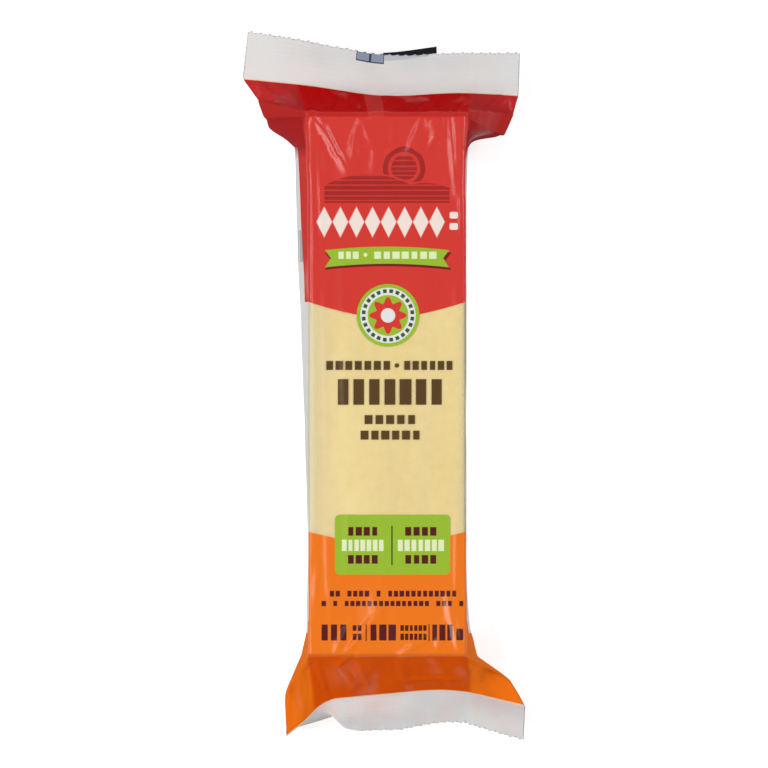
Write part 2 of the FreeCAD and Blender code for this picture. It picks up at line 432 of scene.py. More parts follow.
def sheet_places(piece):
    """Each vertex's place on the flat sheet, in mm."""
    mesh = piece.data
    place = np.zeros((len(mesh.vertices), 2))
    uv = np.zeros(len(mesh.loops) * 2)
    mesh.uv_layers.active.data.foreach_get("uv", uv)
    owner = np.zeros(len(mesh.loops), int)
    mesh.loops.foreach_get("vertex_index", owner)
    place[owner] = uv.reshape(-1, 2) * UV_UNIT
    return place


def positions(piece):
    flat = np.zeros(len(piece.data.vertices) * 3)
    piece.data.vertices.foreach_get("co", flat)
    return flat.reshape(-1, 3) / MM


def normals(piece):
    flat = np.zeros(len(piece.data.vertices) * 3)
    piece.data.vertex_normals.foreach_get("vector", flat)
    return flat.reshape(-1, 3)


def move_to(piece, points):
    piece.data.vertices.foreach_set("co", (points * MM).ravel())
    piece.data.update()


edit(film, (bpy.ops.mesh.normals_make_consistent, {"inside": False}))
place = sheet_places(film)
point = positions(film)
outward = normals(film)
u, v = place.T
print("film spans in mm:", point.min(0).round(1), point.max(0).round(1))

# %% Noise, creases and regions of the sheet
HEAD_SEAL_AT = END + HEAD["film"]
FOOT_SEAL_AT = -END - FOOT["film"]


def ease(x):
    x = np.clip(x, 0, 1)
    return x * x * (3 - 2 * x)


def ripple(scale_u, scale_v, seed, across_sheet=None):
    """Smooth noise over the sheet, with its own scale each way."""
    from_u = u if across_sheet is None else across_sheet
    values = [noise.noise(Vector((a / scale_u, b / scale_v, seed))) for a, b in zip(from_u, v)]
    return np.array(values)


def crease(start, stop, width, height):
    """A soft ridge, or a groove if its height is negative, along a line on the sheet."""
    (x0, y0), (x1, y1) = start, stop
    length = math.hypot(x1 - x0, y1 - y0)
    t = ((u - x0) * (x1 - x0) + (v - y0) * (y1 - y0)) / length**2
    off = np.hypot(u - x0 - np.clip(t, 0, 1) * (x1 - x0), v - y0 - np.clip(t, 0, 1) * (y1 - y0))
    fade = np.sin(np.pi * np.clip(0.12 + 0.76 * t, 0, 1))
    return height * fade * np.exp(-((off / width) ** 2))


on_front = ease(WIDTH / 2 + 1.0 - np.abs(u))
on_back = ease((np.abs(u) - around[LOW_RIGHT] + 4) / 4)
on_side = 1 - on_front - on_back
past_end = ease((np.abs(v) - END + 2) / 5)
in_band = ease((v - HEAD_SEAL_AT) / 1.5) + ease((FOOT_SEAL_AT - v) / 1.5)
in_gather = past_end * (1 - in_band)
near_end = ease((np.abs(v) - 44) / 22)
off_root = ease((HEAD_SEAL_AT - v) / 3) * ease((v - FOOT_SEAL_AT) / 3)
print("share of vertices in the gathers:", float(in_gather.mean().round(2)))

# %% Ripples, and the larger creases
# Slow ripples everywhere, ridges near the ends, waves on the sides, pleats in the gathers.
bumps = (0.12 + 0.5 * near_end) * ripple(7, 20, 1.5) * (1 - past_end)
bumps += 0.55 * near_end * np.maximum(ripple(3.5, 9, 9.0), 0) * (1 - past_end)
bumps += 0.35 * ripple(8, 16, 4.0) * on_side * (1 - past_end)
bumps += (0.7 * ripple(5, 22, 7.0) + 0.25 * ripple(2.4, 9, 2.0)) * in_gather * off_root
bumps *= 1 - 0.85 * on_back * (1 - past_end)

# Each crease: where it starts and stops, its half width, and its height.
FRONT_CREASES = [
    ((-20, 72), (-10, 56), 1.0, 0.75),
    ((-17, 72), (-13.5, 60), 0.7, 0.45),
    ((-20.3, 72), (-19.2, 34), 0.6, 0.30),
    ((-18, 66), (-17.2, 38), 0.7, 0.28),
    ((-7, 71), (-3, 61), 1.1, 0.30),
    ((2, 71), (1, 58), 1.3, 0.28),
    ((9, 71), (6, 62), 1.0, 0.35),
    ((16.5, 72), (18.3, 50), 0.7, 0.60),
    ((19.3, 72), (19.6, 40), 0.6, 0.35),
    ((15, 71), (11, 62), 0.8, 0.40),
    ((-19.4, 40), (-18.8, -44), 0.7, 0.22),
    ((-16.5, 24), (-15.5, -30), 1.0, 0.24),
    ((-11.5, 30), (-10.5, -20), 1.4, 0.22),
    ((-9.5, -18), (-10.5, -52), 1.2, 0.20),
    ((-16, -28), (-15, -66), 1.0, 0.26),
    ((4, 12), (5, -30), 1.8, 0.14),
    ((18.4, 26), (18.9, -26), 0.9, 0.24),
    ((18.9, -20), (18.2, -64), 0.8, 0.30),
    ((-11, -71), (1, -57), 0.9, 0.60),
    ((-14, -71), (-9, -62), 0.8, 0.40),
    ((-19.6, -72), (-18.5, -48), 0.7, 0.35),
    ((19, -70), (16, -57), 0.9, 0.55),
    ((3, -72), (12, -66), 1.0, 0.40),
]
END_CREASES = [
    ((-21.5, 73), (-21, 87), 0.6, 0.6),
    ((-13, 74), (-9.5, 87), 0.7, 0.7),
    ((-8, 79), (-9.5, 87), 0.6, 0.6),
    ((-2, 72), (1, 88), 1.5, 0.35),
    ((8, 73), (12, 87), 1.1, 0.4),
    ((19, 73), (23, 87), 0.9, 0.45),
    ((27, 76), (31, 88), 0.9, 0.5),
    ((-28, 75), (-33, 88), 0.8, 0.5),
    ((-19, -73), (-16.5, -90), 0.8, 1.1),
    ((-8, -72), (-4, -88), 0.8, 1.2),
    ((-13, -75), (-7, -89), 0.7, 1.1),
    ((-14, -76), (-10, -72), 0.6, 0.8),
    ((4, -84), (22, -84), 0.8, 0.5),
    ((3, -73), (6, -89), 1.1, 0.45),
    ((13, -74), (17, -89), 1.1, 0.5),
    ((22, -73), (27, -89), 0.9, 0.6),
    ((-28, -74), (-27, -90), 1.2, 0.5),
]
for start, stop, width, height in FRONT_CREASES + END_CREASES:
    bumps += crease(start, stop, width, height)

# Along the bar no bump may reach the cheese, so grooves are cut off there.
HIGHEST, DEEPEST = 0.55, -0.14
deepest = np.where(np.abs(v) > END - 9, 0.0, DEEPEST)
bumps = np.where(np.abs(v) < END + 3, np.clip(bumps, deepest, HIGHEST), bumps)
point += outward * bumps[:, None]
print("bumps in mm:", bumps.min().round(2), "to", bumps.max().round(2))

# %% Ribs of the bands, and the saw-toothed cut edges
RIB_PITCH, RIB_HEIGHT = 1.35, 0.025
TOOTH_DEPTH = 0.85


def fine_index(value, knots):
    """A place on the sheet as a count of fine faces from its first edge."""
    return np.interp(value, knots, np.arange(len(knots)) * FINE)


fine_column = np.rint(fine_index(u, around)).astype(int) % (COLUMNS * FINE)
fine_row = np.rint(fine_index(v, along_sheet)).astype(int)
last_row = (len(rows) - 1) * FINE
index_at = {key: i for i, key in enumerate(zip(fine_column, fine_row))}

facing = np.where((fine_column > LEFT_FOLD * FINE) & (fine_column < RIGHT_FOLD * FINE), 1, -1)
facing[np.isin(fine_column, (LEFT_FOLD * FINE, RIGHT_FOLD * FINE))] = 0
fold_at = around[RIGHT_FOLD]
flattened = np.where(np.abs(u) > fold_at, np.sign(u) * (2 * fold_at - np.abs(u)), u)
ribs = RIB_HEIGHT * np.sin(2 * np.pi * v / RIB_PITCH) * in_band
wave = 0.40 * ripple(6, 9, 11.0, flattened) * in_band
point += outward * ((ribs + wave) * facing)[:, None]

half_around = (RIGHT_FOLD - LEFT_FOLD) * FINE
for cut_row, inner_row in ((0, 1), (last_row, last_row - 1)):
    for step in range(half_around + 1):
        front = index_at[(LEFT_FOLD * FINE + step, cut_row)]
        behind = index_at[((LEFT_FOLD * FINE - step) % (COLUMNS * FINE), cut_row)]
        inside = index_at[(LEFT_FOLD * FINE + step, inner_row)]
        edge_point = (point[front] + point[behind]) / 2
        tooth = TOOTH_DEPTH * abs(step % 4 - 2) / 2
        edge_point += unit(point[inside] - edge_point) * tooth
        point[front] = point[behind] = edge_point
move_to(film, point)
edit(film, (bpy.ops.mesh.remove_doubles, {"threshold": 1e-6}))
bpy.ops.object.shade_smooth()
print("film spans in mm:", positions(film).min(0).round(2), positions(film).max(0).round(2))

# %% [markdown]
# ## The seam flap
#
# The lengthwise seam joins the sheet's two long edges behind the bar, and its spare width is
# folded flat to one side. It is a narrow strip of two layers, so it starts as a grid of its
# own. It follows the film's back just off its surface, runs on over both seals, and ends a
# little beyond the head's cut edge, where its printed end shows. It could be drawn as a line in
# the film's material, but its edge and its end are real steps in the outline.

# %% Lay the flap along the back
FLAP_WIDTH, FLAP_WALL, FLAP_GAP = 14.2, 0.16, 0.17
FLAP_COLUMNS = 4
HEAD_OVERHANG, FOOT_OVERHANG = 2.6, 0.0

flap_cells = FLAP_WIDTH / face_cell


def cage_point(row, column):
    """A point between two columns of the cage."""
    whole = int(math.floor(column))
    part = column - whole
    points = rows[row][1]
    return points[whole] * (1 - part) + points[min(whole + 1, COLUMNS)] * part


def cage_normal(row, column):
    """The direction away from the bar at a point of the cage."""
    across = cage_point(row, column + 0.3) - cage_point(row, column - 0.3)
    above, below = min(row + 1, len(rows) - 1), max(row - 1, 0)
    length = cage_point(above, column) - cage_point(below, column)
    return unit(np.cross(across, length))


flap_rows = []
for row in range(len(rows)):
    strip = []
    for step in range(FLAP_COLUMNS + 1):
        column = COLUMNS - flap_cells * step / FLAP_COLUMNS - 0.35
        away = cage_normal(row, column)
        if abs(along_sheet[row]) < END - 1:
            away = np.array([0.0, 0.0, -1.0])
        strip.append(cage_point(row, column) + away * FLAP_GAP)
    flap_rows.append(strip)
for overhang, edge_row, next_row in ((FOOT_OVERHANG, 0, 1), (HEAD_OVERHANG, -1, -2)):
    for step in range(FLAP_COLUMNS + 1):
        reach = overhang * (0.3 + 0.7 * step / FLAP_COLUMNS) - TOOTH_DEPTH * 0.5
        direction = unit(flap_rows[edge_row][step] - flap_rows[next_row][step])
        flap_rows[edge_row][step] = flap_rows[edge_row][step] + direction * reach

flap, flap_places = flat_grid("seam_flap", FLAP_COLUMNS, len(rows) - 1)
flap_across = np.linspace(0, FLAP_WIDTH, FLAP_COLUMNS + 1)
flap_along = along_sheet.copy()
flap_along[-1] += HEAD_OVERHANG
write_sheet_uv(flap, flap_places, flap_across, flap_along)
for index, (column, row) in flap_places.items():
    flap.data.vertices[index].co = Vector(flap_rows[row][column] * MM)
smooth = {"levels": 2, "render_levels": 2, "boundary_smooth": "PRESERVE_CORNERS"}
apply_modifier(flap, "SUBSURF", uv_smooth="NONE", **smooth)
apply_modifier(flap, "SOLIDIFY", thickness=FLAP_WALL * MM, offset=0)
edit(flap, (bpy.ops.mesh.normals_make_consistent, {"inside": False}))
bpy.ops.object.shade_smooth_by_angle(angle=math.radians(40))
print("flap spans in mm:", positions(flap).min(0).round(2), positions(flap).max(0).round(2))

# %% [markdown]
# ## Patterns as formulas
#
# A printed pattern is a set of masks, each a number from 0 to 1 over the sheet. Linking dozens
# of Math nodes by hand is slow and hard to read. A small class lets a mask be written as a
# formula instead: adding two of its values adds a Math node to the tree.

# %% Formulas that build Math nodes


class Value:
    """The output of a node, in a formula."""

    def __init__(self, tree, socket):
        self.tree = tree
        self.socket = socket

    def run(self, operation, *others, clamp=False):
        node = self.tree.nodes.new("ShaderNodeMath")
        node.operation = operation
        node.use_clamp = clamp
        for slot, value in zip(node.inputs, (self, *others)):
            if isinstance(value, Value):
                self.tree.links.new(value.socket, slot)
            else:
                slot.default_value = value
        return Value(self.tree, node.outputs[0])

    def __add__(self, other):
        return self.run("ADD", other)

    def __sub__(self, other):
        return self.run("SUBTRACT", other)

    def __mul__(self, other):
        return self.run("MULTIPLY", other)

    def __truediv__(self, other):
        return self.run("DIVIDE", other)

    def __abs__(self):
        return self.run("ABSOLUTE")

    def least(self, other):
        return self.run("MINIMUM", other)

    def most(self, other):
        return self.run("MAXIMUM", other)

    def mask(self, softness=0.12):
        """1 where this is above zero, 0 where it is below, with a soft edge in mm."""
        return self.run("MULTIPLY_ADD", 1 / softness, 0.5, clamp=True)


def join(tree, value, slot):
    """Links a value, or sets a plain number or colour, on a node's input."""
    if isinstance(value, Value):
        tree.links.new(value.socket, slot)
    else:
        slot.default_value = value


def add_node(tree, kind, inputs=None, **settings):
    node = tree.nodes.new(kind)
    for key, value in settings.items():
        setattr(node, key, value)
    for key, value in (inputs or {}).items():
        join(tree, value, node.inputs[key])
    return node


def out(tree, node, name=0):
    return Value(tree, node.outputs[name])


def linear(red, green, blue):
    """A colour given as 0 to 255, as the renderer wants it."""

    def channel(value):
        value /= 255
        return value / 12.92 if value <= 0.04045 else ((value + 0.055) / 1.055) ** 2.4

    return (channel(red), channel(green), channel(blue), 1.0)


# %% [markdown]
# ## Stamps
#
# Most of the print is made of two shapes: a box with round corners, and a row of blocks that
# stands where a line of words would be. Each is a node group with named inputs, built once
# and placed many times with its own sizes, as one would use a rubber stamp.

# %% Build the stamps


def new_group(name, inputs):
    group = bpy.data.node_groups.new(name, "ShaderNodeTree")
    for label, value in inputs.items():
        socket = group.interface.new_socket(label, in_out="INPUT", socket_type="NodeSocketFloat")
        socket.default_value = value
    group.interface.new_socket("Mask", in_out="OUTPUT", socket_type="NodeSocketFloat")
    entry = group.nodes.new("NodeGroupInput")
    exit_node = group.nodes.new("NodeGroupOutput")
    values = {label: Value(group, entry.outputs[label]) for label in inputs}
    return group, values, exit_node.inputs["Mask"]


PLACE = {"Across": 0.0, "Along": 0.0, "Centre Across": 0.0, "Centre Along": 0.0}

box_stamp, given, mask_out = new_group(
    "Rounded Box Stamp",
    {**PLACE, "Half Width": 1.0, "Half Height": 1.0, "Corner": 0.3},
)
across = given["Across"] - given["Centre Across"]
along = given["Along"] - given["Centre Along"]
beside = (abs(across) - given["Half Width"] + given["Corner"]).most(0)
above = (abs(along) - given["Half Height"] + given["Corner"]).most(0)
distance = (beside * beside + above * above).run("SQRT")
join(box_stamp, (given["Corner"] - distance).mask(), mask_out)

row_stamp, given, mask_out = new_group(
    "Word Row Stamp",
    {**PLACE, "Half Width": 1.0, "Half Height": 1.0, "Pitch": 2.0, "Seed": 0.0, "Spaces": 0.0},
)
across = given["Across"] - given["Centre Across"]
along = given["Along"] - given["Centre Along"]
cell = (across + given["Half Width"]) / given["Pitch"]
number = cell.run("FLOOR")
chance_node = add_node(
    row_stamp, "ShaderNodeTexWhiteNoise", {"W": number + given["Seed"]}, noise_dimensions="1D"
)
chance = out(row_stamp, chance_node, "Value")
from_middle = abs(cell.run("FRACT") - 0.5) * given["Pitch"]
block_half = given["Pitch"] * (chance * 0.1 + 0.31)
block = (block_half - from_middle).mask(0.15)
space = (chance - given["Spaces"] + 0.001).mask(0.002)
inside = (given["Half Width"] - abs(across)).mask() * (given["Half Height"] - abs(along)).mask()
join(row_stamp, block * space * inside, mask_out)
print("stamps:", box_stamp.name, "and", row_stamp.name)

# %% [markdown]
# ## The printed film
#
# Ink makes the film opaque, and the bare film over the window is clear with a slight haze, so
# one mask of ink drives both the colours and the alpha. Gloss comes from the shader: film is
# smooth, and its creases catch the light. A fine bump stands for the tiniest waves. First come
# the helpers that make a material, lay one colour over another, and read the flat sheet.

# %% Materials and paint


def new_material(name, roughness, constants=None):
    material = bpy.data.materials.new(name)
    material.use_nodes = True
    tree = material.node_tree
    shader = tree.nodes["Principled BSDF"]
    shader.inputs["Roughness"].default_value = roughness
    for label, value in (constants or {}).items():
        shader.inputs[label].default_value = value
    return material, tree, shader


def paint(tree, under, mask, over):
    """Lays one colour over another where the mask is."""
    node = add_node(tree, "ShaderNodeMix", data_type="RGBA")
    join(tree, mask, node.inputs["Factor"])
    join(tree, under, node.inputs[6])
    join(tree, over, node.inputs[7])
    return Value(tree, node.outputs[2])


# %% Reading the flat sheet, and stamping on it


def texture(tree, vector, scale, stretch=(1, 1, 1), detail=2.0):
    """Noise over a vector that is first stretched. Its value is around 0.5."""
    mapping = add_node(tree, "ShaderNodeMapping", {"Vector": vector, "Scale": stretch})
    grain = add_node(tree, "ShaderNodeTexNoise", {"Scale": scale, "Detail": detail})
    tree.links.new(mapping.outputs["Vector"], grain.inputs["Vector"])
    return out(tree, grain, "Fac")


def sheet_axes(tree, layer):
    """The place across and along the flat sheet, in mm, and as one vector."""
    uv_node = add_node(tree, "ShaderNodeUVMap", uv_map=layer)
    split = add_node(tree, "ShaderNodeSeparateXYZ", {"Vector": out(tree, uv_node)})
    across, along = out(tree, split, "X") * UV_UNIT, out(tree, split, "Y") * UV_UNIT
    return across, along, out(tree, uv_node)


def stamp(group, centre, half, **others):
    """One stamp on the film, at a place and with a half width and half height, in mm."""
    node = add_node(tree, "ShaderNodeGroup", node_tree=group)
    inputs = {"Across": across, "Along": along}
    inputs.update({"Centre Across": centre[0], "Centre Along": centre[1]})
    inputs.update({"Half Width": half[0], "Half Height": half[1], **others})
    for label, value in inputs.items():
        join(tree, value, node.inputs[label])
    return out(tree, node, "Mask")


def box(centre, half, **others):
    return stamp(box_stamp, centre, half, **others)


def words(centre, half, blocks, seed=0.0, spaces=0.0):
    """A row of that many blocks. Some of them, up to a share, are left out as spaces."""
    pitch = 2 * half[0] / blocks
    return stamp(row_stamp, centre, half, Pitch=pitch, Seed=seed, Spaces=spaces)


def distance_from(centre):
    """The distance of the film's points from one place on the sheet."""
    x, y = across - centre[0], along - centre[1]
    return (x * x + y * y).run("SQRT")


# %% The inks
WHITE = linear(222, 221, 219)
CREAM = linear(238, 228, 192)
REFLECTED_PINK = linear(226, 196, 190)
PRINT_WHITE = linear(234, 218, 208)
RED = linear(206, 55, 47)
# Painted shade: the red, darkened and deepened for the gathered ends.
SHADED_END_RED = linear(196, 8, 8)
DARK_RED = linear(184, 42, 42)
PALE_RED = linear(206, 60, 54)
MAROON = linear(112, 26, 28)
ENGRAVED = linear(158, 38, 36)
ORANGE = linear(233, 116, 22)
# Painted shade: the orange, darkened and deepened for the gathered ends.
SHADED_END_ORANGE = linear(222, 84, 2)
WING_ORANGE = linear(236, 112, 20)
GREEN = linear(148, 182, 48)
LEAF = linear(48, 84, 36)
PALE_GREEN = linear(220, 230, 184)
BROWN = linear(86, 62, 30)
INK = linear(84, 26, 26)
GREY = linear(140, 152, 170)
FAINT_GREY = linear(160, 160, 158)
DARK_GREY = linear(58, 66, 82)
EDGE_LINE = linear(238, 200, 160)
# Painted shade for the side film under the head's ears.
UNDER_EAR_SHADE_RED = linear(166, 34, 34)
STRIP_BLACK = linear(22, 20, 22)

# %% Fields of colour on the film
film_material, tree, film_shader = new_material(
    "printed_film", 0.4, {"Specular IOR Level": 0.0, "Coat Roughness": 0.2}
)
across, along, sheet_vector = sheet_axes(tree, film.data.uv_layers.active.name)
off_middle = abs(across)

EDGE_OF_FACE = WIDTH / 2
ALL_ROUND = 66  # past this, the ends' colours run all round the tube
past_face = (off_middle - EDGE_OF_FACE).most(0)
on_face = off_middle.least(EDGE_OF_FACE)

# Each colour ends in a shallow point on the front, and reaches a little way down the sides.
red_edge = on_face * 0.12 + 17 + on_face * on_face * 0.005
red_reach = (along - red_edge) * 0.1 + 4.8
in_red = (along - red_edge).mask() * (red_reach - past_face).mask()
in_red = in_red.most((along - ALL_ROUND).mask())
orange_edge = on_face * 0.24 - 44
orange_reach = (orange_edge - along) * 0.13 + 3
in_orange = (orange_edge - along).mask() * (orange_reach - past_face).mask()
in_orange = in_orange.most((along * -1 - ALL_ROUND).mask())
in_fin = (along - HEAD_SEAL_AT).mask().most((along * -1 + FOOT_SEAL_AT).mask())
in_side = (past_face - 0.8).mask(0.5)

# The gathered film, turned from the light, is painted a darker, deeper red and orange as
# painted shade, and the ears, which face up, a paler red and orange. A paler band runs where
# the seam lies behind it, partly the seam showing through and partly a painted highlight.
past_lip = (abs(along) - END - 0.1).mask(1.0)
in_ear = (past_face - 0.9).mask(1.6)
shaded_end_red = paint(tree, SHADED_END_RED, in_ear, DARK_RED)
# Paler band over the seam: partly the seam showing through, partly a painted highlight on its
# raised imprint.
seam_and_highlight_band = (abs(across + 2.9) * -1 + 2.1).mask(0.5) * 0.75
shaded_end_red = paint(tree, shaded_end_red, seam_and_highlight_band, PALE_RED)
shaded_end_orange = paint(tree, SHADED_END_ORANGE, in_ear, WING_ORANGE)
# Bare window film: cream that shows only as far as the haze alpha lets it, a painted reflection.
colour = paint(tree, CREAM, in_side, WHITE)
colour = paint(tree, colour, in_red, paint(tree, RED, past_lip, shaded_end_red))
colour = paint(tree, colour, in_orange, paint(tree, ORANGE, past_lip, shaded_end_orange))
# Painted shade: the side film under the head's ears is painted a darker red.
painted_under_ear_shade = (along - 61).mask(3.0) * (past_lip * -1 + 1) * (past_face - 1.0).mask(1.0)
colour = paint(tree, colour, painted_under_ear_shade, UNDER_EAR_SHADE_RED)
ink = in_red.most(in_orange)
print("fields of colour take", len(tree.nodes), "nodes")

# %% [markdown]
# ## The print on the head panel
#
# The red panel carries a picture in darker red, a broad white row, a green ribbon with a shadow
# and a round badge at the point of the window. Each is one formula of the place on the sheet: a
# hill is a parabola, and a flower is a circle whose radius changes with the turn. An image
# could hold them, but formulas stay sharp from any distance.

# %% The head panel: hills, lozenges, ribbon and badge


def lay(mask, over):
    """Prints one more mask on the film."""
    global colour, ink
    colour = paint(tree, colour, mask, over)
    ink = ink.most(mask)


# Furrowed hills, and a sun with a halo that rises behind them.
hill = abs(across + 5) * abs(across + 5) * -0.022 + 55.5
far_hill = abs(across - 10) * abs(across - 10) * -0.03 + 53.2
skyline = hill.most(far_hill)
hills = (skyline - along).mask() * (along - 48).mask()
from_sun = distance_from((4.5, 57.2))
sun = (from_sun * -1 + 3.4).mask()
halo = (from_sun * -1 + 5.6).mask() * (from_sun - 4.3).mask()
furrows = (abs((along / 1.3).run("FRACT") - 0.5) - 0.12).mask(0.2)
above_hills = (along - skyline - 0.5).mask()
lay(hills * furrows * (off_middle * -1 + 16.5).mask(), ENGRAVED)
lay((sun * furrows).most(halo) * above_hills, ENGRAVED)

LOZENGE = 4.25  # from one lozenge to the next
lozenge = ((across + 18.7) / LOZENGE).run("FRACT") - 0.5
lozenge = abs(lozenge) * -LOZENGE + 2.05 - abs(along - 42.8) * 0.5
row_of_lozenges = (abs(across + 1.7) * -1 + 17.0).mask()
lay(lozenge.mask(0.3) * row_of_lozenges, PRINT_WHITE)
for height in (44.6, 41.6):
    lay(box((17.6, height), (1.1, 0.9), Corner=0.5), PRINT_WHITE)


def ribbon(centre, half):
    """A gently arched ribbon with a notch cut in each end."""
    along_arch = along + across * across * 0.0035
    off = abs(along_arch - centre[1])
    tail = abs(across - centre[0]) * -1 + half[0] - 1.6 + off * (1.6 / half[1])
    return tail.mask() * (off * -1 + half[1]).mask()


lay(ribbon((0.3, 33.4), (16.7, 2.3)), MAROON)
lay(ribbon((0.0, 34.0), (16.4, 2.25)), GREEN)
lay(words((-10.2, 34.0), (2.9, 0.95), 3), PALE_GREEN)
lay(box((-5.7, 34.1), (0.5, 0.5), Corner=0.5), PALE_GREEN)
lay(words((4.8, 34.0), (8.5, 0.95), 7), PALE_GREEN)

BADGE = (0.26, 18.1)
BEADS, PETALS = 24, 8
radius = distance_from(BADGE)
turn = (across - BADGE[0]).run("ARCTAN2", along - BADGE[1])
beads = (turn * (BEADS / (2 * math.pi))).run("FRACT")
beads = (abs(beads - 0.5) * -1 + 0.3).mask(0.1) * (abs(radius - 6.45) * -1 + 0.5).mask()
petal_reach = (turn * PETALS).run("COSINE") * 0.8 + 4.1
lay((radius * -1 + 8.26).mask(), GREEN)
lay((radius * -1 + 7.3).mask(), WHITE)
lay(beads, LEAF)
lay((radius * -1 + 5.4).mask(), GREEN)
lay((petal_reach - radius).mask(), RED)
lay((radius * -1 + 1.9).mask(), WHITE)
print("with the head panel:", len(tree.nodes), "nodes")

# %% [markdown]
# ## Rows of blocks for words
#
# Words are read as rows of dark marks before they are read as letters. So a row of blocks of
# the right height, length and colour gives the pack its look with no lettering. Each row is
# one stamp, and its seed picks the widths of its blocks.

# %% The rows on the window and the foot panel
# On the window: two rows in one line with a dot between them, a large row, and two small ones.
lay(words((-7.6, 4.9), (8.8, 1.2), 7, 5.0), BROWN)
lay(box((2.6, 4.9), (0.6, 0.6), Corner=0.6), BROWN)
lay(words((10.9, 4.9), (6.7, 1.2), 6, 9.0), BROWN)
lay(words((0.75, -2.1), (14.4, 3.4), 7, 21.0), BROWN)
lay(words((0.8, -9.4), (7.1, 1.2), 5, 8.0), BROWN)
lay(words((0.9, -13.5), (8.2, 1.2), 6, 13.0), BROWN)

# The green panel: two halves with a line between them, then two long rows under the panel.
lay(box((1.45, -42.4), (15.2, 7.9), Corner=1.3), GREEN)
lay(box((1.3, -42.6), (0.2, 5.2), Corner=0.1), LEAF)
for centre, half, seed in ((-6.4, 4.2, 1.0), (8.9, 4.4, 7.0)):
    lay(words((centre, -38.9), (half, 1.15), 4, seed), INK)
    lay(words((centre, -46.3), (half, 1.15), 4, seed + 4), INK)
lay(words((-6.4, -42.6), (5.7, 1.5), 7, 3.0), PALE_GREEN)
lay(words((8.9, -42.6), (6.3, 1.5), 7, 9.0), PALE_GREEN)
lay(words((1.6, -55.5), (16.9, 0.85), 22, 31.0, 0.16), INK)
lay(words((1.45, -58.5), (18.9, 0.85), 25, 37.0, 0.16), INK)

# The lowest line: tall rows, double small rows, and thin lines between them.
TALL_ROWS = [(-14.0, 3.7, 3), (-1.1, 3.7, 3), (14.6, 3.0, 3)]
SMALL_ROWS = [(-7.9, 1.3, 2), (7.0, 3.6, 6)]
LOWEST = -65.6
for centre, half, blocks in TALL_ROWS:
    lay(words((centre, LOWEST), (half, 1.95), blocks, centre + 40), INK)
for centre, half, blocks in SMALL_ROWS:
    lay(words((centre, LOWEST + 1.0), (half, 0.75), blocks, 2.0), INK)
    lay(words((centre, LOWEST - 1.1), (half, 0.75), blocks, 6.0), INK)
for centre in (-5.5, 11.1):
    lay(box((centre, LOWEST), (0.15, 2.1), Corner=0.1), INK)
lay(box((19.2, -66.2), (0.9, 1.3), Corner=0.3), INK)

# On the left side: the faint end of what is printed behind.
lay(words((-30.0, 36.5), (3.4, 4.2), 5, 3.0, 0.3) * in_side, FAINT_GREY)
print("with the rows of blocks:", len(tree.nodes), "nodes")

# %% [markdown]
# ## The white seals
#
# The seals are left unprinted, because ink would spoil the weld. The welded film is white, with
# a painted pink reflection of the red film beside it. Painting it by hand would fix its
# look for one view, so it is noise that grows towards the root. A thin line marks the root, and
# the head's seal shows the end of a printed label and a painted grey shadow of the black strip.

# %% White seals with a painted pink reflection and a label
# Painted reflection: the red film's pink on the white seals, stronger towards the root.
pink_reflection = texture(tree, sheet_vector, 7.0, (1.6, 1, 1), 2.0)
near_root = (abs(along) * -1 + HEAD_SEAL_AT + SEAL) / SEAL
pink_reflection = (pink_reflection * 2.4 - 1.0 + near_root * 0.35).run("MULTIPLY", 1.0, clamp=True) * 0.55
pink_reflection = pink_reflection * ((along * -1).mask(1.0) * 0.8 + 0.35)
colour = paint(tree, colour, in_fin, paint(tree, WHITE, pink_reflection, REFLECTED_PINK))
ink = ink.most(in_fin)
for seal_at in (HEAD_SEAL_AT, FOOT_SEAL_AT):
    lay((abs(along - seal_at) * -1 + 0.16).mask() * 0.8, EDGE_LINE)
lay(box((-4.1, 99.4), (3.8, 1.6), Corner=0.15), DARK_GREY)
left_pane = box((-6.1, 99.5), (1.6, 1.3), Corner=0.1)
right_pane = box((-2.2, 99.5), (1.7, 1.3), Corner=0.1)
lay(left_pane.most(right_pane), GREY)
# Painted shadow: a grey wedge cast by the folded black strip, seen through the seal.
painted_shadow_wedge = (along - 98.8 - across * 0.12).mask(0.6)
lay(painted_shadow_wedge * box((5.6, 100.0), (5.8, 1.6), Corner=0.3) * 0.45, GREY)
print("with the seals:", len(tree.nodes), "nodes")

# %% [markdown]
# ## Clear film and gloss
#
# Bare film is clear, but it looks milky in long streaks and at the edges, where it is seen
# aslant. That milkiness is the film's slight haze and, mostly, a painted reflection of the
# bright room: pale film colour let in by the alpha wherever there is no ink. A glass shader
# would bend the light and need a real thickness, and for film that thin the alpha looks the
# same and is quicker. The gloss is a coat, so it can be weak on the steep film without a
# change of colour.

# %% How clear the film is, and how it shines
# Painted reflection: streaks and pale edges of the bare film, laid on as haze in the alpha.
reflection_streaks = texture(tree, sheet_vector, 14.0, (1, 0.12, 1))
near_left = (across * -1 - 12).run("MULTIPLY", 0.035, clamp=True)
near_edge = (off_middle - 18.2).run("MULTIPLY", 0.12, clamp=True)
haze_and_reflection = reflection_streaks * 0.34 - 0.08 + near_left + near_edge
alpha = ink.most((in_side * 0.9).most(haze_and_reflection))

# The front has an even gloss. The steep film shines in patches only, mostly at the two glints.
in_steep = (past_lip * (in_fin * -1 + 1)).most(in_side)
patches = texture(tree, sheet_vector, 11.0, (1, 0.6, 1)) * 6 - 3.4
patches = patches.run("MULTIPLY", 0.45, clamp=True)
foot_glint = (distance_from((-11, -80)) * -0.12 + 0.9).run("MULTIPLY", 0.4, clamp=True)
ear_glint = (distance_from((-30, 80)) * -0.12 + 0.9).run("MULTIPLY", 0.5, clamp=True)
EVEN_GLOSS = (0.55, 0.55, 0.55, 1)
coat = paint(tree, EVEN_GLOSS, in_steep, patches + foot_glint + ear_glint + 0.04)

